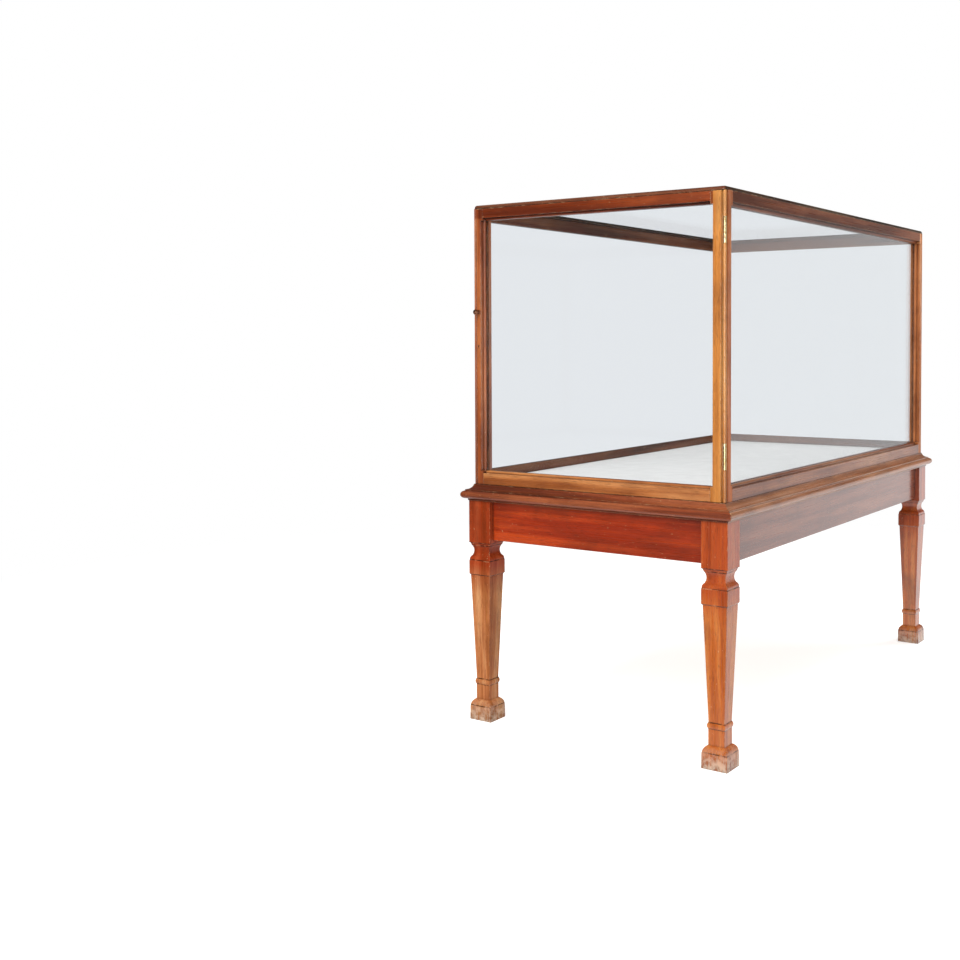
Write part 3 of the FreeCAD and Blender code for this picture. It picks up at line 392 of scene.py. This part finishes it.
def aged_metal(name, bright, dull, spot, shine):
    """Cast or rolled metal, handled and let go dull: bright where rubbed, dark in the hollows."""
    material, tree = new_material(name)
    place = add(tree, "TexCoord").outputs["Object"]
    tarnish = add(tree, "TexNoise", values={"Scale": 1 / (spot * MM), "Detail": 4.0, "Roughness": 0.6},
                  links={"Vector": place}).outputs["Fac"]
    reach = add(tree, "AmbientOcclusion", {"samples": NEAR_SAMPLES},
                {"Distance": METAL_CREVICE * MM}).outputs["AO"]
    amount = add(tree, "MapRange", values=dict(zip(RANGE, TARNISH)),
                 links={"Value": tarnish}).outputs["Result"]
    skin = add(tree, "Mix", COLOURS, {UNDER: linear(bright), OVER: linear(dull)},
               {0: amount}).outputs[MIXED]
    hollow = add(tree, "MapRange", values=dict(zip(RANGE, METAL_HOLLOW)),
                 links={"Value": reach}).outputs["Result"]
    skin = add(tree, "Mix", COLOURS, {OVER: linear(OLD_WAX_AND_SHADE)}, {0: hollow, UNDER: skin}).outputs[MIXED]
    rough = add(tree, "MapRange",
                values=dict(zip(RANGE, FIGURE_SPAN + (shine, shine + TARNISH_ROUGHER))),
                links={"Value": tarnish}).outputs["Result"]
    shader = add(tree, "BsdfPrincipled", values={"Metallic": 1.0},
                 links={"Base Color": skin, "Roughness": rough})
    add(tree, "OutputMaterial", links={"Surface": shader.outputs[0]})
    return material


# Which board each member was cut from, or for some a darker tone of painted shade: its tone, the way of
# its grain, how well its polish lasted.
MEMBERS = {
    "door_hanging_stile": ("stile_gold", "Z", "full"),
    "door_lock_stile": ("stile_orange", "Z", "full"),
    "door_top_rail": ("rail_red", "Y", "full"),
    "door_bottom_rail": ("rail_orange", "Y", "full"),
    "door_glass_beads": ("rail_orange", "Y", "full"),
    "door_sill": ("base_brown", "Y", "full"),
    # Painted shade: the head within the case takes the darker rail tone.
    "door_head": ("rail_shade", "Y", "dull"),
    "post_back_left": ("stile_orange", "Z", "full"),
    "post_front_left": ("post_amber", "Z", "dull"),
    "post_front_right": ("post_orange", "Z", "dull"),
    "post_back_right": ("post_red", "Z", "dull"),
    "top_frame_left": ("frame_umber", "Y", "full"),
    "top_frame_right": ("frame_umber", "Y", "full"),
    # Painted shade: the long sides' top frames take a darker tone, for the little light from above.
    "top_frame_front": ("frame_smoked", "X", "dull"),
    "top_frame_back": ("frame_smoked", "X", "dull"),
    "top_rail_front": ("rail_brown", "X", "dull"),
    # Painted shade: the far rails take the darker rail tone.
    "top_rail_back": ("rail_shade", "X", "dull"),
    "top_rail_right": ("rail_shade", "Y", "dull"),
    "bottom_rail_front": ("side_brown", "X", "worn"),
    # Painted shade: the far bottom rails take the darker rail tone.
    "bottom_rail_back": ("rail_shade", "X", "dull"),
    "bottom_rail_right": ("rail_shade", "Y", "dull"),
    "base_moulding_left": ("base_brown", "Y", "full"),
    "base_moulding_right": ("base_brown", "Y", "full"),
    "base_moulding_front": ("nose_tan", "X", "full"),
    "base_moulding_back": ("nose_tan", "X", "full"),
    "apron_left": ("apron_red", "Y", "full"),
    "apron_right": ("apron_red", "Y", "full"),
    "apron_front": ("apron_brown", "X", "bright"),
    "apron_back": ("apron_brown", "X", "bright"),
}
# Tones with another board's colour at the head: from one height to another, and past which line.
HEADS = {
    "stile_orange": (("rail_red", 1.333, 1.339), None),
    "stile_gold": (("rail_red", 1.3305, 1.332), -0.3295),
}
woods = {}
for node, (tone, grain, polish) in MEMBERS.items():
    key = "mahogany_%s_%s_%s" % (tone, polish, grain.lower())
    if key not in woods:
        woods[key] = french_polished_mahogany(key, grain, tone, polish, *HEADS.get(tone, ()))
    nodes[node].material_slots[0].material = woods[key]

# The legs: the tone of the block, the tone of the shaft, and the polish. They change at the knee,
# between two heights in m.
LEGS = {
    "leg_front_left": ("block_red", "shaft_orange", "full"),
    "leg_back_left": ("block_wine", "shaft_tan", "dull"),
    "leg_front_right": ("block_red", "shaft_bright", "bright"),
    "leg_back_right": ("block_red", "shaft_bright", "bright"),
}
KNEE = (0.42, 0.34)
for node, (tone, shaft, polish) in LEGS.items():
    key = "mahogany_leg_%s" % shaft
    if key not in woods:
        woods[key] = french_polished_mahogany(key, "Z", tone, polish, (shaft,) + KNEE, leg=True)
    nodes[node].material_slots[0].material = woods[key]

# The other finishes, by how the nodes' names start. A metal has its bright and its dull colour, the
# mm across a spot of tarnish, and how rough it is where it is bright.
pine = planed_pine()
hinge_brass = aged_metal("rolled_brass_hinges", "fae4b0", "d4b070", 9, 0.24)
lock_brass = aged_metal("dull_brass_lock", "b48c4c", "6e5026", 7, 0.34)
bronze = aged_metal("bronzed_brass_knob", "c88c6c", "84543e", 8, 0.3)
OTHERS = {
    "corner_braces": pine,
    "deck_bearer": pine,
    "deck_board": pine,
    "deck_lining": lining_card(),
    "hinge_": hinge_brass,
    "lock_": lock_brass,
    "strike_plate": lock_brass,
    "door_knob": bronze,
    "knob_rose": bronze,
}
for node, thing in nodes.items():
    for start, material in OTHERS.items():
        if node.startswith(start):
            thing.material_slots[0].material = material

# The front pane is the brightest: its mirror image lays a pale veil over the long side.
faint_glass = drawn_sheet_glass("drawn_sheet_glass", FAINT_SHEEN)
PANES = {
    "door_glass": faint_glass,
    "glass_back": faint_glass,
    "glass_right": faint_glass,
    "glass_top": faint_glass,
    "glass_front": drawn_sheet_glass("bright_sheet_glass", FULL_SHEEN),
}
for node, material in PANES.items():
    nodes[node].material_slots[0].material = material

# Slotted screws on the hinge leaves, the lock's plate and the strike plate. A slot's width is a
# share of the head's, and the screws stop at different turns, in radians.
HEAD_STAND = 0.15 * MM
HEAD_DEPTH = 0.7 * MM
HEAD_ROUND = 0.8 * HEAD_STAND
SLOT_WIDTH = 0.14
SLOT_DEPTH = 0.4 * MM
FIRST_TURN = 0.7
NEXT_TURN = 1.9
SMOOTH_BELOW = math.radians(40)
LOOKS_UP = 0.9


def slotted_head(radius):
    """One countersunk slotted screw head, looking up along Z, its rim at the level of the plate."""
    bpy.ops.object.select_all(action="DESELECT")
    bpy.ops.mesh.primitive_cylinder_add(vertices=32, radius=radius, depth=HEAD_DEPTH,
                                        location=(0, 0, HEAD_STAND - HEAD_DEPTH / 2))
    head = bpy.context.object
    bpy.ops.object.transform_apply(location=True, rotation=True, scale=True)
    bpy.ops.object.mode_set(mode="EDIT")
    shape = bmesh.from_edit_mesh(head.data)
    for face in shape.faces:
        face.select_set(face.normal.z > LOOKS_UP)
    bmesh.update_edit_mesh(head.data)
    bpy.ops.mesh.bevel(offset=HEAD_ROUND, segments=2, affect="EDGES")
    bpy.ops.object.mode_set(mode="OBJECT")
    bpy.ops.object.select_all(action="DESELECT")
    bpy.ops.mesh.primitive_cube_add(size=1, location=(0, 0, HEAD_STAND))
    cutter = bpy.context.object
    cutter.scale = (radius * 3, radius * 2 * SLOT_WIDTH, SLOT_DEPTH * 2)
    bpy.ops.object.transform_apply(location=True, rotation=True, scale=True)
    slot = head.modifiers.new("slot", "BOOLEAN")
    slot.object = cutter
    slot.operation = "DIFFERENCE"
    bpy.context.view_layer.objects.active = head
    bpy.ops.object.modifier_apply(modifier="slot")
    bpy.data.objects.remove(cutter)
    return head


def screws(name, radius, places, facing, body, material):
    """Copies of one head at each place, facing along +Y or -Y, joined to one piece."""
    pattern = slotted_head(radius)
    made = []
    for number, place in enumerate(places):
        copy = pattern.copy()
        copy.data = pattern.data.copy()
        bpy.context.scene.collection.objects.link(copy)
        angle = FIRST_TURN + NEXT_TURN * number
        copy.matrix_world = (Euler((-facing * QUARTER_TURN, 0, 0)).to_matrix().to_4x4()
                             @ Euler((0, 0, angle)).to_matrix().to_4x4())
        copy.location = place
        made.append(copy)
    bpy.data.objects.remove(pattern)
    bpy.ops.object.select_all(action="DESELECT")
    for copy in made:
        copy.select_set(True)
    bpy.context.view_layer.objects.active = made[0]
    bpy.ops.object.transform_apply(location=True, rotation=True, scale=True)
    bpy.ops.object.join()
    piece = bpy.context.object
    piece.name = name
    bpy.ops.object.shade_smooth_by_angle(angle=SMOOTH_BELOW)
    piece.data.materials.clear()
    piece.data.materials.append(material)
    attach(piece, body)


# The faces of the hinge leaves, from the line of the pin, and their screws: how far out from that
# line, and at which share of the pin's height.
swing = next(j for j in frame["joints"] if j["name"] == "door_swing")
axis_x, axis_y, _ = swing["pos_m"]
POST_FACE = axis_y + 1.6 * MM
DOOR_FACE = axis_y + 2.4 * MM
HINGE_SCREW = 2.6 * MM
LEAF_SCREWS = ((8.5 * MM, 0.18), (14.0 * MM, 0.5), (8.5 * MM, 0.82))
for hinge in ("lower", "upper"):
    low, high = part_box("hinge_%s_pin" % hinge)
    rows = [(axis_x + out, low.z + (high.z - low.z) * share) for out, share in LEAF_SCREWS]
    screws("hinge_%s_post_screws" % hinge, HINGE_SCREW, [(x, POST_FACE, z) for x, z in rows], 1,
           "cabinet", hinge_brass)
    screws("hinge_%s_door_screws" % hinge, HINGE_SCREW, [(x, DOOR_FACE, z) for x, z in rows], -1,
           "door", hinge_brass)

# The plates have a screw near each end, in line with the bolt.
PLATE_SCREW = 1.6 * MM
LOCK_SCREW_INSET = 2.4 * MM
STRIKE_SCREW_INSET = 4 * MM
low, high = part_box("lock_bolt")
plate_x = (low.x + high.x) / 2
low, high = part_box("lock_case")
screws("lock_plate_screws", PLATE_SCREW,
       [(plate_x, high.y, low.z + LOCK_SCREW_INSET), (plate_x, high.y, high.z - LOCK_SCREW_INSET)], 1,
       "door", lock_brass)
low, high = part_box("strike_plate")
screws("strike_plate_screws", PLATE_SCREW,
       [(plate_x, low.y, low.z + STRIKE_SCREW_INSET), (plate_x, low.y, high.z - STRIKE_SCREW_INSET)], -1,
       "cabinet", lock_brass)

# The pale floor. It is lifted to white for the eye and for what glass and polish show of it, and it
# keeps the table's shadow. Distances in m: it is plain white past the shadow, polish sees it pale
# all round, and a dark cloth lies on it before the door, for polish only.
FLOOR_REACH = 14.0
PAST_SHADOW = (1.3, 3.2)
SWEEP = (6.0, 10.0, 0.95, 0.98)
CLOTH = (-1.3, -0.7, 0.12, 1.0)
FLOOR_LIFT = 0.62
bpy.ops.object.select_all(action="DESELECT")
bpy.ops.mesh.primitive_circle_add(vertices=96, radius=FLOOR_REACH, fill_type="NGON")
floor = bpy.context.object
floor.name = "studio_floor"
floor_paint, tree = new_material("pale_floor_paint")
rays = add(tree, "LightPath").outputs
glazed = add(tree, "Math", {"operation": "MAXIMUM"},
             links={0: rays["Is Singular Ray"], 1: rays["Is Transmission Ray"]}).outputs[0]
seen = add(tree, "Math", {"operation": "MAXIMUM"},
           links={0: rays["Is Camera Ray"], 1: glazed}).outputs[0]
polished = add(tree, "Math", {"operation": "SUBTRACT", "use_clamp": True},
               links={0: rays["Is Glossy Ray"], 1: glazed}).outputs[0]
place = add(tree, "TexCoord").outputs["Object"]
away = add(tree, "VectorMath", {"operation": "LENGTH"}, links={0: place}).outputs["Value"]
far = add(tree, "MapRange", values=dict(zip(RANGE, PAST_SHADOW)),
          links={"Value": away}).outputs["Result"]
white = add(tree, "Math", {"operation": "MULTIPLY"}, links={0: seen, 1: far}).outputs[0]
across = add(tree, "SeparateXYZ", links={"Vector": place}).outputs["X"]
sweep = add(tree, "MapRange", values=dict(zip(RANGE, SWEEP)), links={"Value": away}).outputs["Result"]
cloth = add(tree, "MapRange", values=dict(zip(RANGE, CLOTH)), links={"Value": across}).outputs["Result"]
shine = add(tree, "Math", {"operation": "MULTIPLY"}, links={0: sweep, 1: cloth}).outputs[0]
glowing = add(tree, "Math", {"operation": "MAXIMUM"}, links={0: white, 1: polished}).outputs[0]
level = add(tree, "Mix", NUMBERS, {AT_NONE: 1.0}, {0: polished, AT_FULL: shine}).outputs[0]
lift = add(tree, "Math", {"operation": "MULTIPLY"}, {1: FLOOR_LIFT}, {0: seen}).outputs[0]
paint = add(tree, "BsdfPrincipled",
            values={"Base Color": linear(FLOOR_PAINT), "Roughness": 0.9, "Specular IOR Level": 0.1,
                    "Emission Color": linear(WHITE)},
            links={"Emission Strength": lift})
glow = add(tree, "Emission", values={"Color": linear(WHITE)}, links={"Strength": level})
shader = add(tree, "MixShader", links={0: glowing, 1: paint.outputs[0], 2: glow.outputs[0]})
add(tree, "OutputMaterial", links={"Surface": shader.outputs[0]})
floor.data.materials.append(floor_paint)

# White all round for the eye and for glass. Polish sees white walls up to a low rise, and a dark
# ceiling.
WALL = (0.02, 0.12, 1.0, 0.1)
AMBIENT = 0.5
world = bpy.data.worlds.new("studio")
bpy.context.scene.world = world
world.use_nodes = True
tree = world.node_tree
tree.nodes.clear()
rays = add(tree, "LightPath").outputs
glazed = add(tree, "Math", {"operation": "MAXIMUM"},
             links={0: rays["Is Singular Ray"], 1: rays["Is Transmission Ray"]}).outputs[0]
seen = add(tree, "Math", {"operation": "MAXIMUM"},
           links={0: rays["Is Camera Ray"], 1: glazed}).outputs[0]
direction = add(tree, "TexCoord").outputs["Generated"]
rise = add(tree, "SeparateXYZ", links={"Vector": direction}).outputs["Z"]
wall = add(tree, "MapRange", values=dict(zip(RANGE, WALL)), links={"Value": rise}).outputs["Result"]
level = add(tree, "Mix", NUMBERS, {AT_NONE: AMBIENT},
            {0: rays["Is Glossy Ray"], AT_FULL: wall}).outputs[0]
level = add(tree, "Mix", NUMBERS, {AT_FULL: 1.0}, {0: seen, AT_NONE: level}).outputs[0]
sky = add(tree, "Background", values={"Color": linear(WHITE)}, links={"Strength": level})
add(tree, "OutputWorld", links={"Surface": sky.outputs[0]})

# A dark card at the door end, seen by polish and brass only, so that the door's wood stays deep.
CARD_PLACE = (-1.9, 1.9, 1.2)
CARD_SIZE = (4.4, 2.6)
bpy.ops.object.select_all(action="DESELECT")
bpy.ops.mesh.primitive_plane_add(size=1, location=CARD_PLACE, rotation=(QUARTER_TURN, 0, QUARTER_TURN))
card = bpy.context.object
card.scale = (CARD_SIZE[0], CARD_SIZE[1], 1)
bpy.ops.object.transform_apply(location=True, rotation=True, scale=True)
card.name = "studio_dark_card"
card_paint, tree = new_material("black_card")
black = add(tree, "BsdfPrincipled", values={"Base Color": linear(BLACK_PAPER), "Roughness": 0.9})
clear = add(tree, "BsdfTransparent")
glazed = add(tree, "LightPath").outputs["Is Singular Ray"]
shader = add(tree, "MixShader", links={0: glazed, 1: black.outputs[0], 2: clear.outputs[0]})
add(tree, "OutputMaterial", links={"Surface": shader.outputs[0]})
card.data.materials.append(card_paint)
card.visible_camera = False
card.visible_diffuse = False
card.visible_transmission = False
card.visible_volume_scatter = False
card.visible_shadow = False

# The lamps: place, the point each looks at, width and height, all in m, power in W, and whether it
# is a mirrored one.
LAMPS = {
    "key_softbox": ((-3.7, -0.3, 2.9), (-0.3, 0.0, 0.8), (2.4, 2.4), 124, False),
    "fill_softbox": ((3.0, -1.7, 1.6), (0.2, -0.1, 0.7), (1.6, 1.6), 60, False),
    "top_softbox": ((0.2, 0.0, 4.3), (0.2, 0.0, 0.6), (2.6, 2.0), 40, False),
    "strip_lamp": ((-3.2, -0.75, 0.98), (-0.77, -0.36, 0.92), (0.8, 1.25), 34, True),
}


def softbox(name, place, aim, size, power, mirrored):
    """A soft lamp that looks at a point. A mirrored one shows in polish and brass and does no more."""
    lamp = bpy.data.lights.new(name, "AREA")
    lamp.shape = "RECTANGLE"
    lamp.size, lamp.size_y = size
    lamp.energy = power
    thing = bpy.data.objects.new(name, lamp)
    thing.location = place
    thing.rotation_euler = (Vector(aim) - Vector(place)).to_track_quat("-Z", "Y").to_euler()
    thing.visible_glossy = mirrored
    thing.visible_diffuse = not mirrored
    thing.visible_transmission = False
    thing.visible_camera = False
    bpy.context.scene.collection.objects.link(thing)


for name, lamp in LAMPS.items():
    softbox(name, *lamp)

# The camera, fitted to the table's corners: lens and film in mm, shift in frames, place in m, and
# how far it looks down, leans and turns from the table's length, in degrees.
FILM = 36.0
LENS = 46.363
SHIFT = (-0.0167, -0.1052)
EYE = (-3.4254, -1.5856, 1.0163)
LOOKS_DOWN = 1.818
LEANS = 0.230
TURNS = 35.250
eye = bpy.data.cameras.new("camera")
eye.sensor_width = FILM
eye.lens = LENS
eye.shift_x, eye.shift_y = SHIFT
eye.clip_end = 100.0
camera = bpy.data.objects.new("camera", eye)
camera.location = EYE
camera.rotation_mode = "XYZ"
camera.rotation_euler = [math.radians(turn) for turn in (90 - LOOKS_DOWN, LEANS, TURNS - 90)]
bpy.context.scene.collection.objects.link(camera)
bpy.context.scene.camera = camera
bpy.context.scene.view_settings.view_transform = "Standard"
